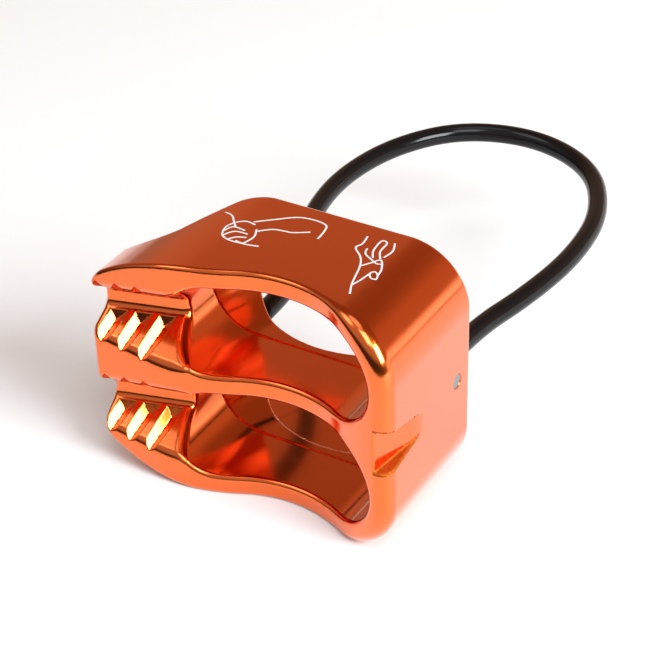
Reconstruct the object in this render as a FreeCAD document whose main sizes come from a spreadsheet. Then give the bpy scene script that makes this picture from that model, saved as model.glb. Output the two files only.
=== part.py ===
import FreeCAD, Part
import math
import os
import Sketcher

# Tubular rope brake: a one-piece anodised aluminium body with two rope slots,
# toothed V-grooves at its nose end, and a jacketed wire-rope keeper loop whose
# swaged ends are pinned into the body. Millimetres, +Z up. The body lies on its
# lower broad side. Origin: bottom centre of the body's own box.
# X runs along the slots (nose at -X, pinned end wall at +X), Y runs from the
# rope's entry face (-Y) to the back face (+Y), where the loop comes out.

Vector = FreeCAD.Vector
Rotation = FreeCAD.Rotation
Placement = FreeCAD.Placement

os.makedirs("parts", exist_ok=True)
doc = FreeCAD.newDocument("rope_brake")

DIMENSIONS = {
    # whole body
    "half_length": 23.75,
    "half_depth": 11.6,
    "height": 37.0,
    # front face, seen from above: flat nose, dip, swelling end
    "nose_front_y": -10.5,
    "nose_bulge_radius": 30.0,
    "dip_x": 5.8,
    "dip_y": -6.0,
    "dip_radius": 17.0,
    "end_bulge_radius": 25.0,
    # nose and hollow left side, seen from above
    "nose_back_y": -3.3,
    "nose_back_radius": 2.4,
    "nose_front_radius": 1.5,
    "side_hollow_radius": 7.0,
    "side_angle": 66.0,
    "back_left_x": -9.5,
    # outline seen from the front
    "end_corner_radius": 9.0,
    "taper_start_x": -6.6,
    "taper_radius": 26.0,
    "nose_corner_radius": 2.5,
    # rope slots
    "slot_pitch": 17.0,
    "slot_radius": 7.0,
    "slot_left_x": -4.65,
    "slot_right_x": 13.4,
    "slot_step_y": 2.7,
    "slot_back_radius": 6.8,
    "slot_back_left_x": -1.6,
    "slot_back_right_x": 13.2,
    # toothed grooves from the nose into the slots
    "groove_pitch": 15.4,
    "groove_floor_half": 1.3,
    "groove_wall_angle": 31.0,
    "groove_nose_y": -6.6,
    "groove_rise": 0.272,
    "groove_end_x": -8.0,
    "notch_first_x": -20.9,
    "notch_step": 3.4,
    "notch_width": 2.4,
    "notch_reach": 0.9,
    "notch_run": 14.0,
    "notch_skin": 0.4,
    # web hollow at the back, for the connector
    "hollow_x": 4.35,
    "hollow_y": 21.0,
    "hollow_radius": 17.0,
    "hollow_height": 31.0,
    # notch across the front corner of the end wall
    "thumb_depth": 2.4,
    "thumb_run": 8.6,
    "thumb_height": 6.8,
    # edges
    "outer_edge_radius": 0.6,
    "lip_radius": 0.7,
    # keeper loop and its fixings
    "cord_diameter": 3.0,
    "core_diameter": 1.9,
    "jacket_bore": 2.0,
    "bore_diameter": 3.2,
    "right_bore_x": 20.0,
    "left_bore_x": -8.0,
    "right_bore_end_y": 3.6,
    "left_bore_end_y": 1.2,
    "fitting_length": 6.6,
    "fitting_gap": 0.5,
    "socket_depth": 1.5,
    "pin_diameter": 2.2,
    "right_pin_y": 7.9,
    "left_pin_y": 5.2,
    "right_pin_length": 6.2,
    "right_pin_x": 17.05,
    "left_pin_length": 5.0,
    "left_pin_x": -11.3,
    "hinge_y": 13.6,
    "hinge_gap": 0.4,
    "pin_chamfer": 0.2,
    # how far a cutting shape runs past the metal it cuts
    "overrun": 4.0,
}

# Route of the keeper loop at mid-height, from the swaged fitting in the right bore
# round to the one in the left bore.
LOOP_ROUTE = [
    (20.0, 10.7),
    (20.0, 19.6),
    (22.9, 31.6),
    (24.3, 44.2),
    (22.8, 57.0),
    (16.3, 68.7),
    (4.5, 73.9),
    (-7.6, 70.7),
    (-14.8, 61.0),
    (-17.5, 48.8),
    (-16.2, 37.2),
    (-12.4, 27.4),
    (-8.0, 18.2),
    (-8.0, 8.3),
]

sheet = doc.addObject("Spreadsheet::Sheet", "dims")
for row, (alias, value) in enumerate(DIMENSIONS.items(), start=1):
    sheet.set(f"A{row}", alias)
    sheet.set(f"B{row}", str(value))
    sheet.setAlias(f"B{row}", alias)
doc.recompute()

NOTCHES_PER_WALL = 3


def size(alias):
    """The value of one cell of the sheet."""
    return float(sheet.get(alias))


def linked(expression):
    """An expression in which every alias reads its cell of the sheet."""
    words = sorted(DIMENSIONS, key=len, reverse=True)
    for number, word in enumerate(words):
        expression = expression.replace(word, f"@{number}@")
    for number, word in enumerate(words):
        expression = expression.replace(f"@{number}@", f"dims.{word}")
    return expression


def bind(thing, **properties):
    """Bind properties of a document object to expressions in the sheet's cells."""
    for name, expression in properties.items():
        thing.setExpression(name.replace("__", "."), linked(expression))


# ---------------------------------------------------------------- sketches

TOP_VIEW = Rotation()
FRONT_VIEW = Rotation(Vector(1, 0, 0), 90)
SIDE_VIEW = Rotation(Vector(1, 1, 1), 120)


class Outline:
    """A closed sketch outline whose constraints read the sheet."""

    def __init__(self, name, rotation, base=Vector()):
        self.sketch = doc.addObject("Sketcher::SketchObject", name)
        self.sketch.Placement = Placement(base, rotation)
        self.count = 0

    def line(self, start, end):
        segment = Part.LineSegment(Vector(*start, 0), Vector(*end, 0))
        return self.sketch.addGeometry(segment, False)

    def arc(self, centre, radius, first_degrees, last_degrees):
        circle = Part.Circle(Vector(*centre, 0), Vector(0, 0, 1), radius)
        arc = Part.ArcOfCircle(circle, math.radians(first_degrees), math.radians(last_degrees))
        return self.sketch.addGeometry(arc, False)

    def rule(self, kind, *values):
        return self.sketch.addConstraint(Sketcher.Constraint(kind, *values))

    def measure(self, kind, *values, by):
        """A dimension that takes its value from the expression by."""
        index = self.rule(kind, *values)
        self.count += 1
        name = f"{kind.lower()}_{self.count}"
        self.sketch.renameConstraint(index, name)
        self.sketch.setExpression(f"Constraints.{name}", linked(by))

    def place(self, geometry, point, where, x, y):
        """Fix a point of the outline, at where now, to two expressions."""
        self.measure("DistanceX", geometry, point, where[0], by=x)
        self.measure("DistanceY", geometry, point, where[1], by=y)


START, END, CENTRE = 1, 2, 3


def stadium(name, rotation, base, centre, radius_cell, left_cell, right_cell, height_text):
    """A slot outline: two half circles joined by straight lines, in a front view."""
    radius, left, right = size(radius_cell), size(left_cell), size(right_cell)
    outline = Outline(name, rotation, base)
    right_end = outline.arc((right, centre), radius, -90, 90)
    left_end = outline.arc((left, centre), radius, 90, 270)
    top = outline.line((right, centre + radius), (left, centre + radius))
    bottom = outline.line((left, centre - radius), (right, centre - radius))
    outline.rule("Tangent", right_end, END, top, START)
    outline.rule("Tangent", top, END, left_end, START)
    outline.rule("Tangent", left_end, END, bottom, START)
    outline.rule("Tangent", bottom, END, right_end, START)
    outline.place(right_end, CENTRE, (right, centre), right_cell, height_text)
    outline.measure("DistanceX", left_end, CENTRE, left, by=left_cell)
    outline.measure("Radius", right_end, radius, by=radius_cell)
    outline.rule("Horizontal", top)
    return outline.sketch


def plan_outline():
    """The body seen from above."""
    half_length, half_depth = size("half_length"), size("half_depth")
    nose_y, back_y = size("nose_front_y"), size("nose_back_y")
    bulge, dip, end_bulge = (size(f"{n}_radius") for n in ("nose_bulge", "dip", "end_bulge"))
    dip_centre = (size("dip_x"), size("dip_y") - dip)
    bulge_y = nose_y + bulge
    bulge_x = dip_centre[0] - math.sqrt((dip + bulge) ** 2 - (bulge_y - dip_centre[1]) ** 2)
    left_turn = math.degrees(math.atan2(bulge_y - dip_centre[1], bulge_x - dip_centre[0]))

    def end_centre(angle):
        reach = dip + end_bulge
        return (dip_centre[0] + reach * math.cos(angle), dip_centre[1] + reach * math.sin(angle))

    def miss(angle):
        x, y = end_centre(angle)
        return y - math.sqrt(end_bulge ** 2 - (half_length - x) ** 2) + half_depth

    low, high = math.radians(40), math.radians(75)
    for _ in range(60):
        middle = (low + high) / 2
        low, high = (middle, high) if miss(middle) < 0 else (low, middle)
    right_turn = math.degrees(low)
    end_middle = end_centre(low)
    end_stop = math.degrees(math.atan2(-half_depth - end_middle[1], half_length - end_middle[0]))

    slope = math.radians(size("side_angle"))
    hollow = size("side_hollow_radius")
    corner = (size("back_left_x"), half_depth)
    hollow_y = back_y + hollow
    touch_y = hollow_y - hollow * math.cos(slope)
    touch_x = corner[0] - (half_depth - touch_y) / math.tan(slope)
    hollow_x = touch_x - hollow * math.sin(slope)
    back_radius, front_radius = size("nose_back_radius"), size("nose_front_radius")
    back_centre = (-half_length + back_radius, back_y - back_radius)
    front_centre = (-half_length + front_radius, nose_y + front_radius)

    plan = Outline("plan_outline", TOP_VIEW)
    nose_front = plan.line((front_centre[0], nose_y), (bulge_x, nose_y))
    nose_bulge = plan.arc((bulge_x, bulge_y), bulge, 270, 360 + left_turn - 180)
    dip_arc = plan.arc(dip_centre, dip, right_turn, left_turn)
    end_arc = plan.arc(end_middle, end_bulge, 180 + right_turn, 360 + end_stop)
    end_wall = plan.line((half_length, -half_depth), (half_length, half_depth))
    back = plan.line((half_length, half_depth), corner)
    side = plan.line(corner, (touch_x, touch_y))
    side_hollow = plan.arc((hollow_x, hollow_y), hollow, 270, 270 + size("side_angle"))
    nose_back = plan.line((hollow_x, back_y), (back_centre[0], back_y))
    back_round = plan.arc(back_centre, back_radius, 90, 180)
    nose_end = plan.line((-half_length, back_centre[1]), (-half_length, front_centre[1]))
    front_round = plan.arc(front_centre, front_radius, 180, 270)

    plan.rule("Tangent", nose_front, END, nose_bulge, START)
    plan.rule("Tangent", nose_bulge, END, dip_arc, END)
    plan.rule("Tangent", dip_arc, START, end_arc, START)
    plan.rule("Coincident", end_arc, END, end_wall, START)
    plan.rule("Coincident", end_wall, END, back, START)
    plan.rule("Coincident", back, END, side, START)
    plan.rule("Tangent", side, END, side_hollow, END)
    plan.rule("Tangent", side_hollow, START, nose_back, START)
    plan.rule("Tangent", nose_back, END, back_round, START)
    plan.rule("Tangent", back_round, END, nose_end, START)
    plan.rule("Tangent", nose_end, END, front_round, START)
    plan.rule("Tangent", front_round, END, nose_front, START)
    plan.rule("Horizontal", nose_front)
    plan.rule("Horizontal", nose_back)
    plan.rule("Horizontal", back)
    plan.rule("Vertical", end_wall)
    plan.rule("Vertical", nose_end)
    plan.measure("DistanceY", nose_front, START, nose_y, by="nose_front_y")
    plan.measure("DistanceY", nose_back, START, back_y, by="nose_back_y")
    plan.measure("DistanceX", nose_end, START, -half_length, by="-half_length")
    plan.place(dip_arc, CENTRE, dip_centre, "dip_x", "dip_y - dip_radius")
    plan.place(end_wall, START, (half_length, -half_depth), "half_length", "-half_depth")
    plan.place(side, START, corner, "back_left_x", "half_depth")
    for arc, cell in ((nose_bulge, "nose_bulge_radius"), (dip_arc, "dip_radius"),
                      (end_arc, "end_bulge_radius"), (side_hollow, "side_hollow_radius"),
                      (back_round, "nose_back_radius"), (front_round, "nose_front_radius")):
        plan.measure("Radius", arc, size(cell), by=cell)
    plan.measure("Angle", side, slope - math.pi, by="(side_angle - 180) * 1 deg")
    return plan.sketch


def front_outline():
    """The body seen from the front: round corners at the end wall, tapered nose."""
    half_length, height = size("half_length"), size("height")
    corner, taper, tip = (size(f"{n}_radius") for n in ("end_corner", "taper", "nose_corner"))
    taper_x = size("taper_start_x")
    tip_x = -half_length + tip
    tip_turn = math.degrees(math.acos((tip_x - taper_x) / (taper - tip)))
    tip_rise = (taper - tip) * math.sin(math.radians(tip_turn))
    top_tip, bottom_tip = height - taper + tip_rise, taper - tip_rise

    front = Outline("front_outline", FRONT_VIEW, Vector(0, size("half_depth") + 1, 0))
    end = front.line((half_length, corner), (half_length, height - corner))
    top_corner = front.arc((half_length - corner, height - corner), corner, 0, 90)
    top = front.line((half_length - corner, height), (taper_x, height))
    top_taper = front.arc((taper_x, height - taper), taper, 90, tip_turn)
    top_nose = front.arc((tip_x, top_tip), tip, tip_turn, 180)
    nose = front.line((-half_length, top_tip), (-half_length, bottom_tip))
    low_nose = front.arc((tip_x, bottom_tip), tip, 180, 360 - tip_turn)
    low_taper = front.arc((taper_x, taper), taper, 360 - tip_turn, 270)
    bottom = front.line((taper_x, 0), (half_length - corner, 0))
    low_corner = front.arc((half_length - corner, corner), corner, 270, 360)
    chain = [end, top_corner, top, top_taper, top_nose, nose, low_nose, low_taper, bottom, low_corner]
    for first, second in zip(chain, chain[1:] + chain[:1]):
        front.rule("Tangent", first, END, second, START)
    front.rule("Horizontal", top)
    front.rule("Horizontal", bottom)
    front.rule("Vertical", end)
    front.rule("Vertical", nose)
    front.measure("DistanceX", end, START, half_length, by="half_length")
    front.measure("DistanceX", nose, START, -half_length, by="-half_length")
    front.place(top_taper, CENTRE, (taper_x, height - taper), "taper_start_x", "height - taper_radius")
    front.place(low_taper, CENTRE, (taper_x, taper), "taper_start_x", "taper_radius")
    for arc, cell in ((top_corner, "end_corner_radius"), (low_corner, "end_corner_radius"),
                      (top_taper, "taper_radius"), (low_taper, "taper_radius"),
                      (top_nose, "nose_corner_radius"), (low_nose, "nose_corner_radius")):
        front.measure("Radius", arc, size(cell), by=cell)
    return front.sketch


# ---------------------------------------------------------------- solids

def extrude(name, base, direction, length):
    """A sketch pushed along a direction by the length that an expression gives."""
    solid = doc.addObject("Part::Extrusion", name)
    solid.Base = base
    solid.DirMode = "Custom"
    solid.Dir = Vector(*direction)
    solid.Solid = True
    bind(solid, LengthFwd=length)
    return solid


def combine(kind, name, members):
    """A boolean of several objects: Part::MultiFuse or Part::MultiCommon."""
    result = doc.addObject(kind, name)
    result.Shapes = members
    return result


def cut(name, base, tool):
    result = doc.addObject("Part::Cut", name)
    result.Base = base
    result.Tool = tool
    return result


def cylinder(name, radius, length, rotation, x, y, z):
    """A cylinder along its own Z, its foot at the point that x, y, z give."""
    solid = doc.addObject("Part::Cylinder", name)
    solid.Placement = Placement(Vector(), rotation)
    bind(solid, Radius=radius, Height=length,
         Placement__Base__x=x, Placement__Base__y=y, Placement__Base__z=z)
    return solid


ALONG_X = Rotation(Vector(0, 1, 0), 90)
ALONG_MINUS_X = Rotation(Vector(0, 1, 0), -90)
ALONG_Y = Rotation(Vector(1, 0, 0), -90)
UPRIGHT = Rotation()
MID = "height / 2"


def slot_tools(side, sign):
    """The rope slot above (+1) or below (-1) the web: a straight front and a back
    whose left end leans with the body's side."""
    centre = size("height") / 2 + sign * size("slot_pitch") / 2
    centre_text = f"height / 2 {'+' if sign > 0 else '-'} slot_pitch / 2"
    step = Vector(0, size("slot_step_y"), 0)
    back = Vector(0, size("half_depth") + 1, 0)
    front_face = stadium(f"{side}_slot_front", FRONT_VIEW, step, centre,
                         "slot_radius", "slot_left_x", "slot_right_x", centre_text)
    step_face = stadium(f"{side}_slot_step", FRONT_VIEW, step, centre,
                        "slot_radius", "slot_left_x", "slot_right_x", centre_text)
    back_face = stadium(f"{side}_slot_back", FRONT_VIEW, back, centre,
                        "slot_back_radius", "slot_back_left_x", "slot_back_right_x", centre_text)
    front = extrude(f"{side}_slot_mouth", front_face, (0, -1, 0), "half_depth + slot_step_y + overrun")
    rear = doc.addObject("Part::Loft", f"{side}_slot_rear")
    rear.Sections = [step_face, back_face]
    rear.Solid = True
    rear.Ruled = True
    return [front, rear]


def groove_tool(side, sign):
    """The flat-bottomed V that the rope is pulled into when more grip is wanted."""
    centre = size("height") / 2 + sign * size("groove_pitch") / 2
    centre_text = f"height / 2 {'+' if sign > 0 else '-'} groove_pitch / 2"
    overrun = size("overrun")
    start_x = -size("half_length") - overrun
    floor_y = size("groove_nose_y") - overrun * size("groove_rise")
    mouth_y = -size("half_depth") - overrun
    half = size("groove_floor_half")
    spread = half + (floor_y - mouth_y) * math.tan(math.radians(size("groove_wall_angle")))
    outline = Outline(f"{side}_groove_section", SIDE_VIEW, Vector(start_x, 0, 0))
    corners = [(floor_y, centre - half), (floor_y, centre + half),
               (mouth_y, centre + spread), (mouth_y, centre - spread)]
    sides = [outline.line(a, b) for a, b in zip(corners, corners[1:] + corners[:1])]
    for first, second in zip(sides, sides[1:] + sides[:1]):
        outline.rule("Coincident", first, END, second, START)
    floor_text, mouth_text = "groove_nose_y - overrun * groove_rise", "-half_depth - overrun"
    spread_text = (f"groove_floor_half + ({floor_text} + half_depth + overrun)"
                   " * tan(groove_wall_angle * 1 deg)")
    places = [(floor_text, f"{centre_text} - groove_floor_half"),
              (floor_text, f"{centre_text} + groove_floor_half"),
              (mouth_text, f"{centre_text} + {spread_text}"),
              (mouth_text, f"{centre_text} - ({spread_text})")]
    for line, where, (y_text, z_text) in zip(sides, corners, places):
        outline.place(line, START, where, y_text, z_text)
    return extrude(f"{side}_groove", outline.sketch, (1, size("groove_rise"), 0),
                   "(half_length + overrun + groove_end_x) * sqrt(1 + groove_rise * groove_rise)")


def notch_tools(side, sign):
    """V-notches across both walls of a groove. Each is a roof-shaped wedge laid on
    the wall, running out through the mouth, with a sloping inner end. Its local Z
    runs down the wall towards the mouth and its local Y into the metal."""
    tilt = math.radians(size("groove_wall_angle"))
    centre_text = f"height / 2 {'+' if sign > 0 else '-'} groove_pitch / 2"
    tools = []
    for wall, wall_name in ((-1, "low"), (1, "high")):
        down = Vector(0, -math.cos(tilt), wall * math.sin(tilt))
        into = Vector(0, math.sin(tilt), wall * math.cos(tilt))
        turn = Rotation(into.cross(down), into, down, "ZXY")
        for number in range(NOTCHES_PER_WALL):
            wedge = doc.addObject("Part::Wedge", f"{side}_notch_{wall_name}_{number + 1}")
            wedge.Placement = Placement(Vector(), turn)
            x = f"(notch_first_x + {number} * notch_step)"
            floor_y = f"(groove_nose_y + ({x} + half_length) * groove_rise)"
            bind(wedge, Xmin="-notch_width / 2 - notch_skin", Xmax="notch_width / 2 + notch_skin",
                 X2min="-0.02", X2max="0.02", Ymin="-notch_skin", Ymax="notch_width / 2",
                 Zmin="0", Zmax="notch_run", Z2min="notch_width / 2 + notch_skin", Z2max="notch_run",
                 Placement__Base__x=x,
                 Placement__Base__y=f"{floor_y} - notch_reach * cos(groove_wall_angle * 1 deg)",
                 Placement__Base__z=(f"{centre_text} + {wall} * (groove_floor_half"
                                     " + notch_reach * sin(groove_wall_angle * 1 deg))"))
            tools.append(wedge)
    return tools


def thumb_tool():
    """A flat notch across the front corner of the end wall, at mid-height."""
    outline = Outline("thumb_section", TOP_VIEW)
    x, y = size("half_length"), -size("half_depth")
    depth, run, overrun = size("thumb_depth"), size("thumb_run"), size("overrun")
    corners = [(x - depth, y), (x - depth, y - overrun), (x + overrun, y - overrun),
               (x + overrun, y + run), (x, y + run)]
    sides = [outline.line(a, b) for a, b in zip(corners, corners[1:] + corners[:1])]
    for first, second in zip(sides, sides[1:] + sides[:1]):
        outline.rule("Coincident", first, END, second, START)
    places = [("half_length - thumb_depth", "-half_depth"),
              ("half_length - thumb_depth", "-half_depth - overrun"),
              ("half_length + overrun", "-half_depth - overrun"),
              ("half_length + overrun", "thumb_run - half_depth"),
              ("half_length", "thumb_run - half_depth")]
    for line, where, (x_text, y_text) in zip(sides, corners, places):
        outline.place(line, START, where, x_text, y_text)
    tool = extrude("thumb_notch", outline.sketch, (0, 0, 1), "thumb_height")
    bind(tool, Placement__Base__z="(height - thumb_height) / 2")
    return tool


def sharp_edges(shape, wanted=lambda middle: True):
    """Numbers of the edges where two faces meet at more than a slight angle."""
    numbers = []
    for number, edge in enumerate(shape.Edges, start=1):
        faces = shape.ancestorsOfType(edge, Part.Face)
        if len(faces) != 2:
            continue
        middle = edge.valueAt((edge.FirstParameter + edge.LastParameter) / 2)
        normals = [face.normalAt(*face.Surface.parameter(middle)) for face in faces]
        if normals[0].getAngle(normals[1]) > math.radians(15) and wanted(middle):
            numbers.append(number)
    return numbers


def rounded(name, base, radius_cell, wanted=lambda middle: True):
    """A copy of base with a fillet on its sharp edges that wanted() accepts."""
    radius = size(radius_cell)
    result = doc.addObject("Part::Fillet", name)
    result.Base = base
    result.Edges = [(number, radius, radius) for number in sharp_edges(base.Shape, wanted)]
    return result


def in_front(middle):
    return middle.y < -3


# ---------------------------------------------------------------- body

plan = plan_outline()
front = front_outline()
doc.recompute()
plan_blank = extrude("plan_blank", plan, (0, 0, 1), "height")
front_blank = extrude("front_blank", front, (0, -1, 0), "2 * half_depth + 2")
blank = combine("Part::MultiCommon", "blank", [plan_blank, front_blank])
doc.recompute()
smooth_blank = rounded("smooth_blank", blank, "outer_edge_radius")
doc.recompute()
slots = combine("Part::MultiFuse", "slots", slot_tools("upper", 1) + slot_tools("lower", -1))
slotted = cut("slotted", smooth_blank, slots)
doc.recompute()
lipped = rounded("lipped", slotted, "lip_radius", in_front)
doc.recompute()

web_hollow = cylinder("web_hollow", "hollow_radius", "hollow_height", UPRIGHT,
                      "hollow_x", "hollow_y", "(height - hollow_height) / 2")
bores = [cylinder(f"{side}_bore", "bore_diameter / 2", f"half_depth + overrun - {side}_bore_end_y",
                  ALONG_Y, f"{side}_bore_x", f"{side}_bore_end_y", MID)
         for side in ("right", "left")]
right_pin_hole = cylinder("right_pin_hole", "pin_diameter / 2", "right_pin_length + overrun",
                          ALONG_X, "right_pin_x", "right_pin_y", MID)
left_pin_hole = cylinder("left_pin_hole", "pin_diameter / 2", "left_pin_length + overrun",
                         ALONG_MINUS_X, "left_pin_x + left_pin_length", "left_pin_y", MID)
tools = [groove_tool("upper", 1), groove_tool("lower", -1), web_hollow, thumb_tool(),
         right_pin_hole, left_pin_hole] + bores
tools += notch_tools("upper", 1) + notch_tools("lower", -1)
machining = combine("Part::MultiFuse", "machining", tools)
body = cut("body", lipped, machining)


# ---------------------------------------------------------------- keeper loop

def loop_path():
    """The loop's centre line: straight runs joined by tangent arcs."""
    points = [Vector(x, y, size("height") / 2) for x, y in LOOP_ROUTE]
    edges, radii = [], []
    here = points[0]
    for before, corner, after in zip(points, points[1:], points[2:]):
        inward = (corner - before).normalize()
        outward = (after - corner).normalize()
        half_turn = inward.getAngle(outward) / 2
        reach = 0.45 * min((corner - before).Length, (after - corner).Length)
        radius = reach / math.tan(half_turn)
        first, last = corner - inward * reach, corner + outward * reach
        bisector = (outward - inward).normalize()
        middle = corner + bisector * (radius / math.cos(half_turn) - radius)
        edges.append(Part.LineSegment(here, first).toShape())
        edges.append(Part.Arc(first, middle, last).toShape())
        radii.append(radius)
        here = last
    edges.append(Part.LineSegment(here, points[-1]).toShape())
    return Part.Wire(edges), radii


path_wire, path_radii = loop_path()
loop_line = doc.addObject("Part::Feature", "loop_line")
loop_line.Shape = path_wire


def swept(name, diameter_cell):
    """A round bar of one diameter along the whole loop line."""
    ring = doc.addObject("Part::Circle", f"{name}_ring")
    ring.Placement = Placement(Vector(), ALONG_Y)
    bind(ring, Radius=f"{diameter_cell} / 2", Placement__Base__x="right_bore_x",
         Placement__Base__y=str(LOOP_ROUTE[0][1]), Placement__Base__z=MID)
    bar = doc.addObject("Part::Sweep", name)
    bar.Sections = [ring]
    bar.Spine = (loop_line, [f"Edge{number + 1}" for number in range(len(path_wire.Edges))])
    bar.Solid = True
    bar.Frenet = False
    return bar


def behind_hinge(name):
    """A box over everything on the body's side of the section where the loop is free."""
    box = doc.addObject("Part::Box", name)
    bind(box, Length="4 * half_length", Width="4 * half_depth", Height="height",
         Placement__Base__x="-2 * half_length",
         Placement__Base__y="hinge_y + cord_diameter / 2 + hinge_gap - 4 * half_depth")
    return box


loop_tube = cut("loop_tube", swept("loop_skin", "cord_diameter"), swept("loop_bore", "jacket_bore"))
loop_jacket = cut("loop_jacket", loop_tube, behind_hinge("jacket_trim"))
loop_core = cut("loop_core", swept("loop_wire", "core_diameter"), behind_hinge("core_trim"))


def jacket_end(side, x, mouth):
    """The jacket from the fitting to the bend, with a round end on the bend line."""
    stub = cylinder(f"{side}_jacket_stub", "cord_diameter / 2", f"hinge_y - {mouth}", ALONG_Y, x, mouth, MID)
    knuckle = doc.addObject("Part::Sphere", f"{side}_knuckle")
    bind(knuckle, Radius="cord_diameter / 2", Placement__Base__x=x,
         Placement__Base__y="hinge_y", Placement__Base__z=MID)
    bore = cylinder(f"{side}_jacket_bore", "jacket_bore / 2", f"hinge_y - {mouth} + 1 - fitting_gap",
                    ALONG_Y, x, f"{mouth} - 1", MID)
    solid = combine("Part::MultiFuse", f"{side}_jacket_solid", [stub, knuckle])
    return cut(f"{side}_jacket_end", solid, bore)


def swaged_end(side, x, foot, mouth):
    """The steel stud swaged on the cable's end: a socket for the wire, a cross hole."""
    barrel = cylinder(f"{side}_barrel", "bore_diameter / 2", "fitting_length", ALONG_Y, x, foot, MID)
    socket = cylinder(f"{side}_socket", "core_diameter / 2", "socket_depth + overrun", ALONG_Y,
                      x, f"{mouth} - socket_depth", MID)
    cross = cylinder(f"{side}_cross_hole", "pin_diameter / 2", "2 * bore_diameter", ALONG_X,
                     f"{x} - bore_diameter", f"{side}_pin_y", MID)
    drillings = combine("Part::MultiFuse", f"{side}_drillings", [socket, cross])
    return cut(f"{side}_swaged_end", barrel, drillings)


def cross_pin(side):
    """The steel pin across the body's bore that holds a swaged end."""
    bar = cylinder(f"{side}_pin_bar", "pin_diameter / 2", f"{side}_pin_length", ALONG_X,
                   f"{side}_pin_x", f"{side}_pin_y", MID)
    doc.recompute()
    pin = doc.addObject("Part::Chamfer", f"{side}_cross_pin")
    pin.Base = bar
    chamfer = size("pin_chamfer")
    pin.Edges = [(number, chamfer, chamfer) for number in sharp_edges(bar.Shape)]
    return pin


def loop_end(side):
    """The pieces that hold one end of the loop in its bore."""
    x = f"{side}_bore_x"
    foot = f"({side}_bore_end_y + fitting_gap)"
    mouth = f"({foot} + fitting_length)"
    core = cylinder(f"{side}_core_end", "core_diameter / 2",
                    f"hinge_y - 2 * fitting_gap - {mouth} + socket_depth",
                    ALONG_Y, x, f"{mouth} - socket_depth", MID)
    return [jacket_end(side, x, mouth), core, swaged_end(side, x, foot, mouth), cross_pin(side)]


pieces = [body, loop_jacket, loop_core] + loop_end("right") + loop_end("left")
doc.recompute()

# ---------------------------------------------------------------- checks and export

for thing in doc.Objects:
    if "Invalid" in thing.State or "Error" in thing.State:
        raise RuntimeError(f"{thing.Name} failed: {thing.State}")
for piece in pieces:
    piece.Label = piece.Name
    if piece.Shape.isNull() or not piece.Shape.isValid():
        raise RuntimeError(f"{piece.Name} has no valid shape")
    if len(piece.Shape.Solids) != 1:
        raise RuntimeError(f"{piece.Name} has {len(piece.Shape.Solids)} solids")
    piece.Shape.exportStep(f"parts/{piece.Name}.step")
    box = piece.Shape.optimalBoundingBox()
    print(f"{piece.Name}: {piece.Shape.Volume:.1f} mm3,",
          f"x {box.XMin:.2f} {box.XMax:.2f}, y {box.YMin:.2f} {box.YMax:.2f}, "
          f"z {box.ZMin:.2f} {box.ZMax:.2f}")

print("loop arc radii:", ", ".join(f"{radius:.1f}" for radius in path_radii))
section = math.pi * (size("cord_diameter") / 2) ** 2
skin = doc.getObject("loop_skin")
print(f"loop line {path_wire.Length:.1f} mm, swept bar {skin.Shape.Volume:.1f} mm3,",
      f"section x length {section * path_wire.Length:.1f} mm3")
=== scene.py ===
import math

import bpy
import numpy as np
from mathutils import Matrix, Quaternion, Vector


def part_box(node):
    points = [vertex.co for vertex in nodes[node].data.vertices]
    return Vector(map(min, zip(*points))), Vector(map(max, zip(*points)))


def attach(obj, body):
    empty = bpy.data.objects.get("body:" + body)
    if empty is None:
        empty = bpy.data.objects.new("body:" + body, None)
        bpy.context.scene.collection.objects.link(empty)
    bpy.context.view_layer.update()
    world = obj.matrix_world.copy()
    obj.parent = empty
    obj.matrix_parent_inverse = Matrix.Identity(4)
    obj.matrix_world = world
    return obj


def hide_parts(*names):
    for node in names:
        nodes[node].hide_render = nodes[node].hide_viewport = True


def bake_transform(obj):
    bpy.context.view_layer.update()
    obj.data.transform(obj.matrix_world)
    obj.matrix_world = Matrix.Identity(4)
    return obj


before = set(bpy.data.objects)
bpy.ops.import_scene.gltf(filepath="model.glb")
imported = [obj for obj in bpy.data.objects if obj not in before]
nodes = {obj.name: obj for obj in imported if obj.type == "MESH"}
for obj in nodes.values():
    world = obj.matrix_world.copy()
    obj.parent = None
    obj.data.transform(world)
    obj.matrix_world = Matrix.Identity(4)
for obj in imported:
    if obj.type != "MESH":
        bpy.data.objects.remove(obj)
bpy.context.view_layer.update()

MM = 0.001
BODY_LOW, BODY_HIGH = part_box("body")
TOP_Z = BODY_HIGH.z
MID_Z = (BODY_LOW.z + BODY_HIGH.z) / 2


def mm(x, y, z):
    """A point of the row frame, given in millimetres."""
    return Vector((x, y, z)) * MM


def place_object(name, data):
    """A new object in the scene."""
    thing = bpy.data.objects.new(name, data)
    bpy.context.scene.collection.objects.link(thing)
    return thing


# ---------------------------------------------------------------- materials

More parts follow.
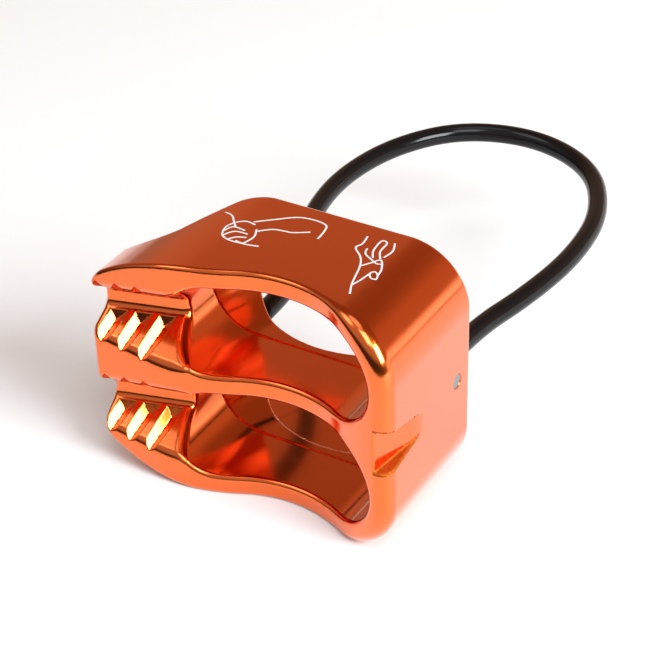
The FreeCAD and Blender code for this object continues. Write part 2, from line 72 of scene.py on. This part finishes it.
class Nodes:
    """A material's node tree, with short ways to add and join nodes."""

    def __init__(self, name):
        self.material = bpy.data.materials.new(name)
        self.material.use_nodes = True
        self.tree = self.material.node_tree
        self.shader = self.tree.nodes["Principled BSDF"]
        coordinates = self.tree.nodes.new("ShaderNodeTexCoord")
        self.position = coordinates.outputs["Object"]

    def add(self, kind, **settings):
        node = self.tree.nodes.new(kind)
        for key, value in settings.items():
            setattr(node, key, value)
        return node

    def join(self, source, target):
        self.tree.links.new(source, target)

    def fix(self, **values):
        """Set sockets of the shader; a name's underscores stand for spaces."""
        for key, value in values.items():
            self.shader.inputs[key.replace("_", " ")].default_value = value

    def vary(self, name, source):
        """Let a node's output drive one socket of the shader."""
        self.join(source, self.shader.inputs[name])

    def noise(self, size, detail=3.0):
        """Noise whose grains are about size metres across."""
        scaling = self.add("ShaderNodeMapping")
        scaling.inputs["Scale"].default_value = [1 / size] * 3
        self.join(self.position, scaling.inputs["Vector"])
        texture = self.add("ShaderNodeTexNoise")
        texture.inputs["Scale"].default_value = 1.0
        texture.inputs["Detail"].default_value = detail
        self.join(scaling.outputs["Vector"], texture.inputs["Vector"])
        return texture.outputs["Fac"]

    def spread(self, value, low, high):
        """A 0 to 1 value moved to the range low to high."""
        node = self.add("ShaderNodeMapRange")
        node.inputs["From Min"].default_value = 0.3
        node.inputs["From Max"].default_value = 0.7
        node.inputs["To Min"].default_value = low
        node.inputs["To Max"].default_value = high
        self.join(value, node.inputs["Value"])
        return node.outputs["Result"]

    def mix(self, value, first, second):
        """The first colour where value is 0 and the second where it is 1."""
        node = self.add("ShaderNodeMix", data_type="RGBA")
        node.inputs[6].default_value = (*first, 1)
        node.inputs[7].default_value = (*second, 1)
        self.join(value, node.inputs[0])
        return node.outputs[2]

    def bump(self, height, depth):
        """Surface relief depth metres deep."""
        node = self.add("ShaderNodeBump")
        node.inputs["Strength"].default_value = 1.0
        node.inputs["Distance"].default_value = depth
        self.join(height, node.inputs["Height"])
        return node.outputs["Normal"]


def anodised_aluminium():
    """Polished aluminium under a clear orange dye layer, with a slight polish ripple."""
    m = Nodes("anodised_aluminium")
    m.fix(Metallic=1.0, Coat_Weight=0.85, Coat_IOR=1.5, Coat_Roughness=0.08)
    m.vary("Base Color", m.mix(m.noise(9 * MM), (0.87, 0.155, 0.017), (0.84, 0.14, 0.013)))
    m.vary("Roughness", m.spread(m.noise(3 * MM), 0.14, 0.19))
    m.vary("Normal", m.bump(m.noise(0.35 * MM, detail=2.0), 0.0012 * MM))
    return m.material


def machined_notch():
    """The same dye over a surface left rough by the cutter."""
    m = Nodes("machined_notch")
    m.fix(Metallic=1.0)
    m.vary("Base Color", m.mix(m.noise(0.35 * MM), (0.32, 0.065, 0.008), (0.58, 0.14, 0.02)))
    m.vary("Roughness", m.spread(m.noise(0.3 * MM), 0.55, 0.75))
    m.vary("Normal", m.bump(m.noise(0.3 * MM), 0.06 * MM))
    return m.material


def black_jacket():
    """Smooth black extruded plastic with a faint ripple."""
    m = Nodes("black_jacket")
    m.fix(Base_Color=(0.005, 0.005, 0.006, 1), IOR=1.5, Specular_IOR_Level=0.25)
    m.vary("Roughness", m.spread(m.noise(4 * MM), 0.11, 0.18))
    m.vary("Normal", m.bump(m.noise(0.8 * MM), 0.004 * MM))
    return m.material


def dull_steel(name, shade):
    """Sheared or swaged steel, grey and a little rough."""
    m = Nodes(name)
    m.fix(Metallic=1.0)
    m.vary("Base Color", m.mix(m.noise(0.4 * MM), (shade, shade, shade * 1.02), (shade * 0.5,) * 3))
    m.vary("Roughness", m.spread(m.noise(0.3 * MM), 0.35, 0.6))
    m.vary("Normal", m.bump(m.noise(0.25 * MM), 0.05 * MM))
    return m.material


def paint(thing, material):
    """Give a whole object one material."""
    thing.data.materials.clear()
    thing.data.materials.append(material)


jacket = black_jacket()
fitting_steel = dull_steel("fitting_steel", 0.5)
pin_steel = dull_steel("pin_steel", 0.75)
for side in ("right", "left"):
    paint(nodes[f"{side}_swaged_end"], fitting_steel)
    paint(nodes[f"{side}_core_end"], fitting_steel)
    paint(nodes[f"{side}_jacket_end"], jacket)
    paint(nodes[f"{side}_cross_pin"], pin_steel)
paint(nodes["loop_core"], fitting_steel)
paint(nodes["loop_jacket"], jacket)


# ---------------------------------------------------------------- body shape

# The body's surface is where a distance field is zero. The field is worked out in
# millimetres, with z measured from mid-height, and is the same above and below it.

HALF_LENGTH = BODY_HIGH.x / MM
BACK_Y = BODY_HIGH.y / MM
HALF_HEIGHT = (TOP_Z - MID_Z) / MM
HALF_DEPTH = 11.6

# radii of the rounded edges, in millimetres
EDGE_RADIUS = 0.65
NOSE_FRONT_EXTRA, NOSE_BACK_EXTRA, SHOULDER_EXTRA = 0.85, 1.75, 1.9
END_CORNER, NOSE_CORNER, BACK_CORNER = 9.0, 2.5, 3.5
TAPER_RADIUS, TAPER_X = 26.0, -6.6
LIP_RADIUS, HOLLOW_EDGE, GROOVE_EDGE, THUMB_EDGE = 0.7, 0.3, 0.5, 0.35
GROOVE_FLOOR_ROUND, GROOVE_NOSE_EXTRA, NOTCH_EDGE, BORE_EDGE, PIN_HOLE_EDGE = 0.6, 0.4, 0.07, 0.2, 0.12


def rounded_max(a, b, radius):
    """The larger of two distances, with the corner between them rounded."""
    beyond = np.hypot(np.maximum(a + radius, 0), np.maximum(b + radius, 0))
    return np.minimum(np.maximum(a, b), -radius) + beyond


def carve(solid, tool, radius):
    """A solid without a tool; the edge that the cut leaves is rounded."""
    return rounded_max(solid, -tool, radius)


def fade(value, start, end):
    """0 before start and 1 after end, smooth between them."""
    share = np.clip((value - start) / (end - start), 0, 1)
    return share * share * (3 - 2 * share)


# where the dip's arc meets the swelling end's arc, in degrees from +X round the dip's centre
END_TURN = 59.44


def front_line(x):
    """The front face seen from above, as y and slope: nose, bulge, dip, swelling end."""
    dip_x, dip_y, dip = 5.8, -23.0, 17.0
    bulge, end, nose_y = 30.0, 25.0, -10.5
    bulge_y = nose_y + bulge
    bulge_x = dip_x - math.sqrt((dip + bulge) ** 2 - (bulge_y - dip_y) ** 2)
    first_turn = dip_x + (bulge_x - dip_x) * dip / (dip + bulge)
    end_turn = math.radians(END_TURN)
    end_x = dip_x + (dip + end) * math.cos(end_turn)
    end_y = dip_y + (dip + end) * math.sin(end_turn)
    second_turn = dip_x + dip * math.cos(end_turn)
    zones = [x < bulge_x, x < first_turn, x < second_turn]
    middle_x = np.select(zones, [x, bulge_x, dip_x], end_x)
    middle_y = np.select(zones, [bulge_y, bulge_y, dip_y], end_y)
    radius = np.select(zones, [bulge, bulge, dip], end)
    side = np.select(zones, [-1.0, -1.0, 1.0], -1.0)
    drop = np.sqrt(np.maximum(radius ** 2 - (x - middle_x) ** 2, 1.0))
    return middle_y + side * drop, -side * (x - middle_x) / drop


def back_line(x):
    """The nose's back and the body's sloping side seen from above, as y and slope."""
    slope = math.radians(66)
    hollow, nose_back, back_left_x = 7.0, -3.3, -9.5
    hollow_y = nose_back + hollow
    touch_y = hollow_y - hollow * math.cos(slope)
    touch_x = back_left_x - (BACK_Y - touch_y) / math.tan(slope)
    hollow_x = touch_x - hollow * math.sin(slope)
    across = np.clip(x, hollow_x, touch_x) - hollow_x
    drop = np.sqrt(hollow ** 2 - across ** 2)
    beyond = np.maximum(x - touch_x, 0)
    return hollow_y - drop + beyond * math.tan(slope), across / drop


def blank_field(x, y, z):
    """The body's outside, before the slots are cut."""
    along = np.minimum(x - TAPER_X, 0)
    drop = np.sqrt(TAPER_RADIUS ** 2 - along ** 2)
    side = (z - HALF_HEIGHT + TAPER_RADIUS - drop) * drop / TAPER_RADIUS
    nose_end = -HALF_LENGTH + 0.4
    field = rounded_max(side, x - HALF_LENGTH, END_CORNER)
    field = rounded_max(field, nose_end - x, NOSE_CORNER)
    nose = fade(-x, HALF_LENGTH - 2.6, HALF_LENGTH - 0.6) * fade(-side, 0.3, 1.5)
    shoulder = fade(x, 11.0, 21.5)
    front_y, front_slope = front_line(x)
    front = (front_y - y) / np.hypot(1, front_slope)
    front_radius = EDGE_RADIUS + NOSE_FRONT_EXTRA * nose + SHOULDER_EXTRA * shoulder
    field = rounded_max(field, front, front_radius)
    back_y, back_slope = back_line(x)
    back = rounded_max(y - BACK_Y, (y - back_y) / np.hypot(1, back_slope), BACK_CORNER)
    return rounded_max(field, back, EDGE_RADIUS + NOSE_BACK_EXTRA * nose)


def slot_field(x, y, z):
    """A rope slot: straight from the front as far as a step, then narrowing backwards."""
    step_y, narrowing_length, slot_z = 2.7, 9.9, 8.5
    share = np.maximum(y - step_y, 0) / narrowing_length
    left, right = -4.65 + 3.05 * share, 13.4 - 0.2 * share
    radius = 7.0 - 0.2 * share - 0.1 * fade(y, 2.5, 2.8)
    reach = np.maximum(np.maximum(left - x, x - right), 0)
    return np.hypot(reach, z - slot_z) - radius


def hollow_field(x, y, z):
    """The round hollow at the back for the connector, between the outer walls."""
    centre_x, centre_y, radius, half_height = 4.35, 21.0, 17.0, 15.5
    return np.maximum(np.hypot(x - centre_x, y - centre_y) - radius, z - half_height)


GROOVE_Z, GROOVE_FLOOR_HALF, GROOVE_ANGLE = 7.7, 1.3, math.radians(31)
GROOVE_START_X, GROOVE_NOSE_Y, GROOVE_RISE, GROOVE_END_X = -23.75, -6.6, 0.272, -8.0


def groove_floor_y(x):
    """The groove's floor runs back into the body as it nears the slot."""
    return GROOVE_NOSE_Y + GROOVE_RISE * (x - GROOVE_START_X)


def groove_field(x, y, z):
    """The trough beside a slot: a flat floor, walls that open towards the front."""
    rise = groove_floor_y(x) - y
    floor = -rise / math.hypot(1, GROOVE_RISE)
    across = np.abs(z - GROOVE_Z) - GROOVE_FLOOR_HALF
    wall = across * math.cos(GROOVE_ANGLE) - rise * math.sin(GROOVE_ANGLE)
    return rounded_max(rounded_max(floor, wall, GROOVE_FLOOR_ROUND), x - GROOVE_END_X, GROOVE_EDGE)


def notch_field(x, y, z, notch_x, wall_side):
    """One V-notch across a groove's wall, leaning towards the nose; its inner end slopes."""
    depth, deepening, lean, reach, above = 1.1, 0.03, 0.12, 0.9, 1.2
    rise = y - groove_floor_y(x)
    drop = wall_side * (z - GROOVE_Z) - GROOVE_FLOOR_HALF
    sine, cosine = math.sin(GROOVE_ANGLE), math.cos(GROOVE_ANGLE)
    down = drop * sine - rise * cosine
    into = drop * cosine + rise * sine
    sunk = into - depth + deepening * down
    across = x - notch_x + lean * down
    right, left, end = math.radians(37), math.radians(44), math.radians(40)
    flank_right = sunk * math.cos(right) + across * math.sin(right)
    flank_left = sunk * math.cos(left) - across * math.sin(left)
    inner_end = into * math.cos(end) - (down - reach) * math.sin(end)
    trough = rounded_max(flank_right, flank_left, 0.05)
    return np.maximum(np.maximum(trough, inner_end), -above - into)


def thumb_field(x, y, z):
    """The flat notch across the end wall's front corner, narrower where it runs out."""
    run, depth, half_height, narrowing, floor_round = 8.6, 2.4, 3.4, 0.2, 0.25
    along = y + HALF_DEPTH
    cut = (along * depth - (x - HALF_LENGTH + depth) * run) / math.hypot(run, depth)
    return rounded_max(cut, z - half_height + narrowing * np.maximum(along, 0), floor_round)


def drill_field(across, up, radius, end):
    """A drilled hole: its distance from the axis in two directions, and its blind end."""
    return np.maximum(np.hypot(across, up) - radius, end)


FIRST_NOTCH_X, NOTCH_STEP = -20.9, 3.4
NOTCHES = [(FIRST_NOTCH_X + NOTCH_STEP * number, wall) for number in range(3) for wall in (-1, 1)]

# the drilled holes: bores for the swaged ends run along Y, the cross pins' holes along X
BORE_RADIUS, PIN_HOLE_RADIUS = 1.6, 1.1
RIGHT_BORE_X, RIGHT_BORE_END_Y, LEFT_BORE_X, LEFT_BORE_END_Y = 20.0, 3.6, -8.0, 1.2
RIGHT_PIN_Y, RIGHT_HOLE_END_X, LEFT_PIN_Y, LEFT_HOLE_END_X = 7.9, 17.0, 5.2, -6.3


def body_field(x, y, z):
    """The whole body: the blank without its slots, hollow, grooves, notches and holes."""
    z = np.abs(z)
    groove_radius = GROOVE_EDGE + GROOVE_NOSE_EXTRA * fade(-x, 8.0, 10.5)
    field = blank_field(x, y, z)
    field = carve(field, slot_field(x, y, z), LIP_RADIUS)
    field = carve(field, hollow_field(x, y, z), HOLLOW_EDGE)
    field = carve(field, groove_field(x, y, z), groove_radius)
    for notch_x, wall in NOTCHES:
        field = carve(field, notch_field(x, y, z, notch_x, wall), NOTCH_EDGE)
    field = carve(field, thumb_field(x, y, z), THUMB_EDGE)
    right_bore = drill_field(x - RIGHT_BORE_X, z, BORE_RADIUS, RIGHT_BORE_END_Y - y)
    left_bore = drill_field(x - LEFT_BORE_X, z, BORE_RADIUS, LEFT_BORE_END_Y - y)
    right_hole = drill_field(y - RIGHT_PIN_Y, z, PIN_HOLE_RADIUS, RIGHT_HOLE_END_X - x)
    left_hole = drill_field(y - LEFT_PIN_Y, z, PIN_HOLE_RADIUS, x - LEFT_HOLE_END_X)
    field = carve(carve(field, right_bore, BORE_EDGE), left_bore, BORE_EDGE)
    return carve(carve(field, right_hole, PIN_HOLE_EDGE), left_hole, PIN_HOLE_EDGE)


def zero_surface(xs, ys, zs, field):
    """Vertices and faces of the surface where a field sampled on a grid is zero."""
    axes = (xs, ys, zs)
    cell_rows = np.array([1, len(xs), len(xs) * len(ys)])
    corners, points = [], []
    for axis in range(3):
        first, second = (axis + 1) % 3, (axis + 2) % 3
        low = np.moveaxis(field, axis, 0)[:-1]
        high = np.moveaxis(field, axis, 0)[1:]
        crossing = np.nonzero(np.moveaxis((low < 0) != (high < 0), 0, axis))
        index = np.stack(crossing, axis=1)
        start = field[tuple(index.T)]
        ahead = index.copy()
        ahead[:, axis] += 1
        end = field[tuple(ahead.T)]
        share = start / (start - end)
        point = np.stack([axes[n][index[:, n]] for n in range(3)], axis=1)
        step = axes[axis][ahead[:, axis]] - axes[axis][index[:, axis]]
        point[:, axis] += share * step
        around = []
        for back_first, back_second in ((1, 1), (0, 1), (0, 0), (1, 0)):
            cell = index.copy()
            cell[:, first] -= back_first
            cell[:, second] -= back_second
            around.append(cell @ cell_rows)
        around = np.stack(around, axis=1)
        inward = start > 0
        around[inward] = around[inward][:, ::-1]
        corners.append(around)
        points.append(point)
    corners = np.concatenate(corners)
    points = np.repeat(np.concatenate(points), 4, axis=0)
    cells, faces = np.unique(corners, return_inverse=True)
    faces = faces.reshape(-1)
    count = np.bincount(faces)
    vertices = np.stack([np.bincount(faces, points[:, n]) / count for n in range(3)], axis=1)
    return vertices, faces.reshape(-1, 4)


def gradient(points):
    """The body field's slope at points."""
    reach = 0.01
    slopes = []
    for axis in range(3):
        step = np.zeros(3)
        step[axis] = reach
        slopes.append(body_field(*(points + step).T) - body_field(*(points - step).T))
    return np.stack(slopes, axis=1) / (2 * reach)


def body_shell():
    """The body as one smooth mesh, finer at the toothed nose."""
    coarse, fine = 0.27, 0.17
    teeth_end = -12.5
    xs = np.concatenate([np.arange(-HALF_LENGTH - 0.4, teeth_end, fine),
                         np.arange(teeth_end, HALF_LENGTH + 0.6, coarse)])
    ys = np.arange(-HALF_DEPTH - 0.5, BACK_Y + 0.6, coarse)
    half = np.arange(0, HALF_HEIGHT + 0.6, coarse)
    upper = body_field(*np.meshgrid(xs, ys, half, indexing="ij"))
    field = np.concatenate([upper[:, :, :0:-1], upper], axis=2)
    zs = np.concatenate([-half[:0:-1], half])
    points, faces = zero_surface(xs, ys, zs, field)
    for _ in range(4):
        slope = gradient(points)
        size = np.maximum((slope ** 2).sum(axis=1), 0.25)
        move = np.clip(body_field(*points.T) / size, -0.1, 0.1)
        points = points - move[:, None] * slope
    slope = gradient(points)
    normals = slope / np.linalg.norm(slope, axis=1)[:, None]

    mesh = bpy.data.meshes.new("brake_body")
    mesh.from_pydata((points * MM + (0, 0, MID_Z)).tolist(), [], faces.tolist())
    mesh.polygons.foreach_set("use_smooth", [True] * len(faces))
    mesh.normals_split_custom_set_from_vertices(normals.tolist())
    mesh.materials.append(anodised_aluminium())
    mesh.materials.append(machined_notch())
    middle = points[faces].mean(axis=1)
    notch_left, notch_back, notch_top, least_slope = 20.6, -2.0, 4.3, 0.2
    in_notch = (middle[:, 0] > notch_left) & (middle[:, 1] < notch_back)
    in_notch &= np.abs(middle[:, 2]) < notch_top
    on_flank = np.abs(normals[faces].mean(axis=1)[:, 2]) > least_slope
    mesh.polygons.foreach_set("material_index", (in_notch & on_flank).astype(int).tolist())
    shell = place_object("brake_body", mesh)
    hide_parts("body")
    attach(shell, "body")


body_shell()


# ---------------------------------------------------------------- keeper loop

# The loop's route at mid-height, in millimetres, from the right fitting round to the left one.
LOOP_ROUTE = [(20.0, 10.7), (20.0, 19.6), (22.9, 31.6), (24.3, 44.2), (22.8, 57.0), (16.3, 68.7),
              (4.5, 73.9), (-7.6, 70.7), (-14.8, 61.0), (-17.5, 48.8), (-16.2, 37.2), (-12.4, 27.4),
              (-8.0, 18.2), (-8.0, 8.3)]
CORD_DIAMETER = 3.0 * MM


def route_line():
    """Points along the smooth line through the loop's route."""
    curve = bpy.data.curves.new("loop_line", "CURVE")
    curve.dimensions = "3D"
    spline = curve.splines.new("NURBS")
    spline.points.add(len(LOOP_ROUTE) - 1)
    for point, (x, y) in zip(spline.points, LOOP_ROUTE):
        point.co = (x * MM, y * MM, MID_Z, 1)
    spline.order_u = 3
    spline.use_endpoint_u = True
    spline.resolution_u = 12
    holder = place_object("loop_line", curve)
    mesh = bpy.data.meshes.new_from_object(holder)
    points = [vertex.co.copy() for vertex in mesh.vertices]
    bpy.data.objects.remove(holder)
    return points


def tube_parts(line, radius, sides, flatness=1.0):
    """Vertices and faces of a closed tube along a line of points; flatness squeezes its height."""
    up = Vector((0, 0, 1))
    vertices, faces = [], []
    for number, point in enumerate(line):
        ahead = line[min(number + 1, len(line) - 1)]
        behind = line[max(number - 1, 0)]
        across = (ahead - behind).normalized().cross(up).normalized()
        for step in range(sides):
            turn = 2 * math.pi * step / sides
            vertices.append(point + radius * (math.cos(turn) * across + flatness * math.sin(turn) * up))
    for ring in range(len(line) - 1):
        for step in range(sides):
            a = ring * sides + step
            b = ring * sides + (step + 1) % sides
            faces.append((a, b, b + sides, a + sides))
    faces.append(tuple(reversed(range(sides))))
    faces.append(tuple(range((len(line) - 1) * sides, len(line) * sides)))
    return vertices, faces


def smooth_piece(name, vertices, faces):
    """A mesh object whose four-sided faces are shaded smooth."""
    mesh = bpy.data.meshes.new(name)
    mesh.from_pydata(vertices, [], faces)
    mesh.polygons.foreach_set("use_smooth", [len(face) == 4 for face in faces])
    mesh.update()
    return place_object(name, mesh)


def keeper_loop():
    """The whole cable as one tube that bends where it leaves the body."""
    line = route_line()
    cable = smooth_piece("keeper_loop", *tube_parts(line, CORD_DIAMETER / 2, 40))
    paint(cable, jacket)
    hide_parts("loop_jacket", "loop_core", "right_jacket_end", "left_jacket_end",
                "right_core_end", "left_core_end")
    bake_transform(cable)


keeper_loop()


PIN_FACE_RADIUS = 1.06 * MM


def pin_face(side, inner, outer, material):
    """A cross pin's rough sheared end, which nearly fills the mouth of its hole."""
    low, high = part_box(f"{side}_cross_pin")
    middle = (low + high) / 2
    line = [Vector((x * MM, middle.y, middle.z)) for x in (inner, outer)]
    plug = smooth_piece(f"{side}_pin_face", *tube_parts(line, PIN_FACE_RADIUS, 32))
    paint(plug, material)
    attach(plug, "body")


sheared_steel = dull_steel("sheared_steel", 0.45)
pin_face("right", 22.6, HALF_LENGTH - 0.12, sheared_steel)
pin_face("left", -11.2, -12.35, sheared_steel)


# ---------------------------------------------------------------- engraved motifs

# Thin bare-metal lines on the top face: a hand on a rope, and a hanging figure.
# Each stroke runs through points given in millimetres as x and y.

HAND = [[(-10.5, 5.2), (-9.0, 4.6), (-7.8, 3.2), (-7.0, 2.3)],
        [(-5.5, 4.4), (-3.3, 6.3), (-0.9, 8.2), (1.4, 8.7), (3.5, 8.3), (4.1, 6.8), (4.3, 4.8)],
        [(-3.8, 2.6), (-2.2, 4.0), (-0.5, 4.4), (0.6, 4.6), (2.6, 5.8)],
        [(-7.6, 3.2), (-6.4, 4.1), (-4.9, 3.9)],
        [(-4.1, 3.0), (-3.4, 1.2), (-3.8, -0.9)],
        [(-7.8, 0.7), (-7.2, 2.1), (-5.3, 2.0)],
        [(-7.3, -0.3), (-6.4, 1.2), (-4.5, 1.4)],
        [(-6.2, -0.9), (-5.4, 0.1), (-4.2, 0.6)],
        [(-7.6, 3.2), (-8.1, 1.6), (-7.4, -0.3), (-5.9, -1.0), (-3.8, -0.9)],
        [(-5.1, -0.7), (-3.6, -0.9), (-1.6, -0.5)]]
FIGURE = [[(9.8, 8.5), (10.1, 6.6), (9.8, 5.3), (11.4, 3.7), (12.5, 1.7), (13.6, -2.2), (14.6, -4.6)],
          [(11.2, 5.9), (11.7, 4.6), (13.3, 3.6)],
          [(13.0, 4.2), (12.2, 5.8), (12.0, 8.3), (12.9, 8.2), (13.1, 6.0), (14.0, 4.4)],
          [(12.5, 1.7), (13.3, 2.9), (14.2, 4.2), (15.3, 2.4), (15.6, 0.9)],
          [(13.3, 3.6), (14.1, 3.2), (14.8, 3.4)],
          [(15.6, 0.9), (15.8, 0.0), (15.1, -0.1), (14.5, 0.8), (14.9, 1.4), (15.6, 0.9)],
          [(13.8, 8.7), (14.5, 6.8), (14.2, 4.9)],
          [(14.5, 0.8), (14.2, -1.2), (13.8, -2.6)]]


def top_height(x):
    """Height of the top face at x, all in millimetres."""
    nose_side = min(x - TAPER_X, 0)
    corner_side = max(x - HALF_LENGTH + END_CORNER, 0)
    nose_drop = TAPER_RADIUS - math.sqrt(TAPER_RADIUS ** 2 - nose_side ** 2)
    corner_drop = END_CORNER - math.sqrt(END_CORNER ** 2 - corner_side ** 2)
    return TOP_Z / MM - nose_drop - corner_drop


def stroke_line(points, steps=6):
    """Points on the top face along a smooth line through the given ones."""
    ends = [points[0], *points, points[-1]]
    line = []
    for number in range(len(points) - 1):
        before, start, end, after = ends[number:number + 4]
        for step in range(steps + (number == len(points) - 2)):
            t = step / steps
            place = []
            for a, b, c, d in zip(before, start, end, after):
                bend = (2 * a - 5 * b + 4 * c - d) * t * t + (3 * b - a - 3 * c + d) * t ** 3
                place.append(b + ((c - a) * t + bend) / 2)
            line.append(mm(*place, top_height(place[0])))
    return line


def motif(name, strokes, width, material):
    """One engraved picture: flat tubes along its strokes, joined in one mesh."""
    vertices, faces = [], []
    for points in strokes:
        more, around = tube_parts(stroke_line(points), width / 2, 8, flatness=0.12)
        faces += [tuple(corner + len(vertices) for corner in face) for face in around]
        vertices += more
    marks = smooth_piece(name, vertices, faces)
    paint(marks, material)
    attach(marks, "body")


def bare_mark():
    """Metal laid bare by the engraving, pale and dull."""
    m = Nodes("bare_mark")
    m.vary("Base Color", m.mix(m.noise(0.5 * MM), (0.74, 0.73, 0.75), (0.62, 0.60, 0.62)))
    m.vary("Roughness", m.spread(m.noise(0.4 * MM), 0.5, 0.7))
    return m.material


mark = bare_mark()
HAND_WIDTH, FIGURE_WIDTH = 0.3 * MM, 0.28 * MM
motif("hand_motif", HAND, HAND_WIDTH, mark)
motif("figure_motif", FIGURE, FIGURE_WIDTH, mark)


# ---------------------------------------------------------------- stage

def floor():
    """A pale table top that runs far behind the object and ends in front of it."""
    mesh = bpy.data.meshes.new("floor")
    reach = 3.0
    front = -0.16
    mesh.from_pydata([(-reach, front, 0), (reach, front, 0), (reach, reach, 0), (-reach, reach, 0)],
                     [], [(0, 1, 2, 3)])
    ground = place_object("floor", mesh)
    m = Nodes("floor_white")
    m.fix(Roughness=0.6)
    m.vary("Base Color", m.mix(m.noise(0.2), (0.87, 0.90, 0.93), (0.855, 0.885, 0.915)))
    paint(ground, m.material)


def softbox(name, direction, width, power, tint):
    """A square lamp at a fixed distance from the body, facing it."""
    middle, distance = mm(0, 0, 15), 0.8
    lamp = bpy.data.lights.new(name, "AREA")
    lamp.shape = "SQUARE"
    lamp.size = width
    lamp.energy = power
    lamp.color = tint
    light = place_object(name, lamp)
    light.location = middle + Vector(direction) * distance
    light.rotation_euler = (middle - light.location).to_track_quat("-Z", "Y").to_euler()


class Sky:
    """A studio's surroundings, as brightness that depends on direction only."""

    def __init__(self):
        world = bpy.data.worlds.new("studio")
        world.use_nodes = True
        self.tree = world.node_tree
        self.background = self.tree.nodes["Background"]
        coordinates = self.tree.nodes.new("ShaderNodeTexCoord")
        self.direction = coordinates.outputs["Generated"]
        self.total = None
        bpy.context.scene.world = world

    def glow(self, axis, start, end, colour):
        """Add a glow: none where direction . axis is start, full where it is end."""
        dot = self.tree.nodes.new("ShaderNodeVectorMath")
        dot.operation = "DOT_PRODUCT"
        dot.inputs[1].default_value = axis
        self.tree.links.new(self.direction, dot.inputs[0])
        ramp = self.tree.nodes.new("ShaderNodeMapRange")
        ramp.interpolation_type = "SMOOTHSTEP"
        ramp.inputs["From Min"].default_value = start
        ramp.inputs["From Max"].default_value = end
        self.tree.links.new(dot.outputs["Value"], ramp.inputs["Value"])
        return self.scale(ramp.outputs["Result"], colour)

    def scale(self, value, colour):
        """A colour times a value."""
        node = self.tree.nodes.new("ShaderNodeVectorMath")
        node.operation = "SCALE"
        node.inputs[0].default_value = colour
        self.tree.links.new(value, node.inputs["Scale"])
        return node.outputs["Vector"]

    def combine(self, operation, first, second):
        """Two colours joined by a vector operation."""
        node = self.tree.nodes.new("ShaderNodeVectorMath")
        node.operation = operation
        self.tree.links.new(first, node.inputs[0])
        self.tree.links.new(second, node.inputs[1])
        return node.outputs["Vector"]

    def add(self, *parts):
        """Add the product of some glows to the sky."""
        part = parts[0]
        for other in parts[1:]:
            part = self.combine("MULTIPLY", part, other)
        self.total = part if self.total is None else self.combine("ADD", self.total, part)

    def finish(self, backdrop):
        """Light the scene with the sky, and show the camera a plain backdrop past the floor's edge."""
        self.tree.links.new(self.total, self.background.inputs["Color"])
        plain = self.tree.nodes.new("ShaderNodeBackground")
        plain.inputs["Color"].default_value = backdrop
        ray = self.tree.nodes.new("ShaderNodeLightPath")
        choice = self.tree.nodes.new("ShaderNodeMixShader")
        self.tree.links.new(ray.outputs["Is Camera Ray"], choice.inputs[0])
        self.tree.links.new(self.background.outputs[0], choice.inputs[1])
        self.tree.links.new(plain.outputs[0], choice.inputs[2])
        self.tree.links.new(choice.outputs[0], self.tree.nodes["World Output"].inputs["Surface"])


def studio_sky():
    """Bright low horizon behind, a warm dim ceiling, a dark room behind the camera, a lamp overhead."""
    sky = Sky()
    white = (1, 1, 1)
    up, back, low_right = (0, 0, 1), (0, 1, 0), (0.12, 0, -1)
    sky.add(sky.glow(low_right, -0.15, 0.02, (1.5, 1.5, 1.5)), sky.glow(back, -0.1, 0.35, white))
    sky.add(sky.glow(up, 0.0, 0.3, (0.22, 0.08, 0.012)), sky.glow(back, -0.5, 0.3, white))
    sky.add(sky.glow(up, 0.72, 0.45, (0.28, 0.17, 0.10)), sky.glow(back, -0.1, 0.7, white))
    sky.add(sky.glow(up, 0.14, 0.40, (0.50, 0.46, 0.42)), sky.glow(back, 0.1, -0.5, white))
    sky.add(sky.glow((-0.43, -0.37, 0.82), 0.955, 0.985, (2.4, 2.4, 2.4)))
    sky.add(sky.glow(up, 0.955, 0.985, (1.2, 1.35, 1.5)))
    sky.add(sky.glow(up, -1.2, -1.1, (0.05, 0.05, 0.05)))
    sky.finish((0.96, 0.96, 0.96, 1))


floor()
studio_sky()
softbox("side_softbox", (0.83, -0.14, 0.51), 0.38, 8.8, (0.95, 0.99, 1.0))
softbox("overhead_softbox", (0.4, -0.38, 0.83), 0.34, 1.9, (0.95, 0.98, 1.0))


# ---------------------------------------------------------------- camera

AZIMUTH, ELEVATION, ROLL = 31.31, 34.31, 1.54
AIM = mm(8.0, 0.9, 26.6)
DISTANCE = 263 * MM
SENSOR_WIDTH, LENS = 36.0, 108.45


def camera():
    """The photograph's camera."""
    azimuth, elevation = math.radians(AZIMUTH), math.radians(ELEVATION)
    level = math.cos(elevation)
    forward = Vector((-math.sin(azimuth) * level, math.cos(azimuth) * level, -math.sin(elevation)))
    lens = bpy.data.cameras.new("camera")
    lens.sensor_width = SENSOR_WIDTH
    lens.lens = LENS
    lens.clip_start = 0.01
    eye = place_object("camera", lens)
    eye.location = AIM - forward * DISTANCE
    turn = Quaternion(forward, math.radians(ROLL)) @ forward.to_track_quat("-Z", "Y")
    eye.rotation_euler = turn.to_euler()
    bpy.context.scene.camera = eye


camera()
bpy.context.scene.view_settings.view_transform = "Standard"
